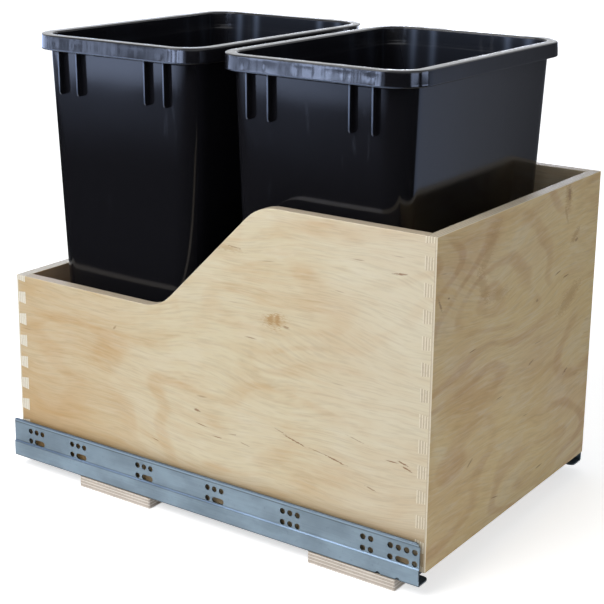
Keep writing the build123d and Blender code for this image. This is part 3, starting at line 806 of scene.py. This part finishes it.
def bin_shell(middle_y):
    """The bin's skin: each ring of the profile is a rounded rectangle at its own height.

    Half width and half depth are the mouth's, less the draft below the top, plus the ring's stand.
    Walls bow outwards a little, by (1 - u^2) for u from -1 to 1 across, and a half wave down. The
    skirt is dented at each fin and ripples by two slow sines. Returned with the points and faces is
    how much painted sheen each point has: a painted highlight on the sides' hem, and painted light on
    the inside walls near the top, in pale lines behind the fins.
    """
    stand, height, marks = bin_profile().T[:, :, None]
    corner_x, corner_y, out_x, out_y = outline(12, 40, 60)[:, None, :]
    down = (BIN_TOP - height) / BIN_HEIGHT
    radius = CORNER - (CORNER - FOOT_CORNER) * down + stand
    half_x = MOUTH_X - DRAFT * down + stand - radius
    half_y = MOUTH_Y - DRAFT * down + stand - radius
    x = corner_x * half_x + radius * out_x
    y = corner_y * half_y + radius * out_y
    on_side = np.clip(np.abs(out_x) - np.abs(out_y), 0, 1)
    on_end = np.clip(np.abs(out_y) - np.abs(out_x), 0, 1)
    below_rim = (down > 0.02) * (np.abs(stand) < 0.004)
    bow = below_rim * np.sin(np.pi * np.clip(down, 0, 1)) ** 0.7
    x = x + np.sign(out_x) * on_side * bow * SIDE_BOW * (1 - corner_y**2)
    y = y + np.sign(out_y) * on_end * bow * END_BOW * (1 - corner_x**2)
    ripple = np.sin(y * 170 + 1.0) + 0.7 * np.sin(y * 395 + x * 90)
    middle = (marks == 1) * np.sin(np.pi * np.clip(((BIN_TOP - height) / SKIRT - 0.1) / 0.82, 0, 1))
    dents = near_fins(y, DENT_WIDTH) * DENT_DEPTH + RIPPLE * (ripple + 1.7)
    x = x - np.sign(out_x) * on_side * middle * dents
    # Painted sheen: a painted highlight on the sides' hem, and painted light on the inside walls near the
    # top, palest behind the fins
    shallow = np.clip(1 - (BIN_TOP - height) / PALE_DEPTH, 0, 1) ** 1.5
    pale_lines = (marks == 2) * shallow * (0.08 + 0.42 * near_fins(y, PALE_WIDTH))
    painted_sheen = on_side * ((marks == 3) * 0.5 + pale_lines)
    points = np.stack([x, y + middle_y, np.broadcast_to(height, x.shape)], axis=2)
    return points.reshape(-1, 3), lofted(*x.shape), painted_sheen.ravel()


def bin_fin(side, middle_y):
    """One fin: a flat rib with two small arcs at its outer edge, from mid-wall at the rim downwards.

    Its thickness and its reach shrink slowly downwards, and quickly over its last three millimetres.
    """
    depth = np.array([0, 0.010, 0.030, 0.050, FIN_TIP_FROM, FIN_END - 0.001, FIN_END])[:, None]
    slow = depth / FIN_LENGTH
    quick = np.clip((depth - FIN_TIP_FROM) / FIN_TIP, 0, 1)
    angles = np.linspace(-math.pi / 2, math.pi / 2, 10)[None, :]
    half = FIN_THICK / 2 * (1 - 0.15 * slow) * (1 - 0.35 * quick**2)
    outer = MOUTH_X + RIM_OUT - WALL - FIN_INSET - FIN_LEAN * slow - FIN_TIP_IN * quick**2
    root = MOUTH_X - DRAFT * (depth + FIN_DROP) / BIN_HEIGHT - 0.5 * WALL
    round_off = 0.35 * half
    arc_x = outer - round_off + round_off * np.cos(angles)
    arc_y = np.sign(angles) * (half - round_off) + round_off * np.sin(angles)
    x = np.concatenate([root, arc_x, root], axis=1)
    y = np.concatenate([-half, arc_y, half], axis=1)
    z = np.broadcast_to(BIN_TOP - FIN_DROP - depth, x.shape)
    # Painted highlight along the fin's outer edge, fading downwards
    fin_edge_sheen = np.clip(np.cos(angles), 0, 1) ** 4 * (0.75 - 5 * depth)
    painted_sheen = np.concatenate([np.zeros_like(root), fin_edge_sheen, np.zeros_like(root)], axis=1)
    points = np.stack([side * x, middle_y + y, z], axis=2)

    # The sections run downwards, so the faces are turned over, and once more on the left side
    faces = [np.roll(corners[:, ::-1], 1, axis=1) for corners in lofted(*x.shape)]
    if side < 0:
        faces = [corners[:, ::-1] for corners in faces]
    return points.reshape(-1, 3), faces, painted_sheen.ravel()


BLACK = shade(20, 20, 24)
bin_plastic, bin_shader = finish("bin_plastic", BLACK, 0.2)
bin_place = own_place(bin_plastic)
bin_orange_peel = noise(bin_plastic, bin_place, (260, 260, 260), 2.0, 4.0)
bin_flow = noise(bin_plastic, bin_place, (7, 7, 3.5), 3.0, 9.0)
bin_rub = noise(bin_plastic, bin_place, (120, 120, 22), 4.0, 14.0)
bin_sink = noise(bin_plastic, bin_place, (60, 80, 7), 2.5, 21.0)
bin_warp = noise(bin_plastic, bin_place, (7, 7, 9), 1.5, 33.0)
bin_scuffs = times(bin_plastic, between(bin_plastic, bin_rub, 0.62, 0.78), 0.12)
# The painted sheen pales the black towards blue-grey and roughens it
bin_painted_sheen = wire(bin_plastic, "Attribute", {}, attribute_name="painted_sheen").outputs["Fac"]
bin_rough = plus(
    bin_plastic,
    ramp(bin_plastic, bin_flow, 0.0, 1.0, 0.08, 0.16),
    bin_scuffs,
    times(bin_plastic, bin_painted_sheen, 0.25),
)
bin_hem_z = BIN_TOP - SKIRT
bin_skirt = between(bin_plastic, split(bin_plastic, bin_place)["Z"], bin_hem_z - 0.003, bin_hem_z)
bin_relief = plus(
    bin_plastic,
    times(bin_plastic, bin_sink, bin_skirt, 0.5),
    times(bin_plastic, bin_warp, 2.0),
    times(bin_plastic, bin_orange_peel, 0.02),
)
bin_bump = wire(bin_plastic, "Bump", {"Height": bin_relief, "Strength": 1.0, "Distance": 0.0006})
bin_tint = mix(bin_plastic, bin_scuffs, BLACK, shade(52, 54, 60))
bin_tint = mix(bin_plastic, bin_painted_sheen, bin_tint, shade(112, 126, 152))
bin_links = bin_plastic.node_tree.links
bin_links.new(bin_rough, bin_shader.inputs["Roughness"])
bin_links.new(bin_bump.outputs[0], bin_shader.inputs["Normal"])
bin_links.new(bin_tint, bin_shader.inputs["Base Color"])

for bin_name, bin_body in (("front_bin", "front_waste_bin"), ("rear_bin", "rear_waste_bin")):
    bin_low, bin_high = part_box(bin_name)
    bin_y = (bin_low.y + bin_high.y) / 2
    skins = [bin_shell(bin_y)]
    for side in (-1, 1):
        for pair in (-1, 1):
            for half in (-1, 1):
                skins.append(bin_fin(side, bin_y + pair * FIN_PAIR + half * FIN_PITCH / 2))
    all_points = []
    all_faces = []
    for skin_points, skin_faces, _ in skins:
        offset = sum(len(part) for part in all_points)
        all_points.append(skin_points)
        for corners in skin_faces:
            all_faces += (corners + offset).tolist()
    bin_mesh = bpy.data.meshes.new(bin_name + "_moulding")
    bin_mesh.from_pydata(np.concatenate(all_points).tolist(), [], all_faces)
    wear = bin_mesh.attributes.new("painted_sheen", "FLOAT", "POINT")
    wear.data.foreach_set("value", np.concatenate([skin[2] for skin in skins]))
    bin_mesh.polygons.foreach_set("use_smooth", np.ones(len(all_faces), bool))
    bin_mesh.set_sharp_from_angle(angle=math.radians(40))
    bin_mesh.materials.append(bin_plastic)
    bin_piece = bpy.data.objects.new(bin_name + "_moulding", bin_mesh)
    bpy.context.scene.collection.objects.link(bin_piece)
    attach(bin_piece, bin_body)
    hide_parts(bin_name)
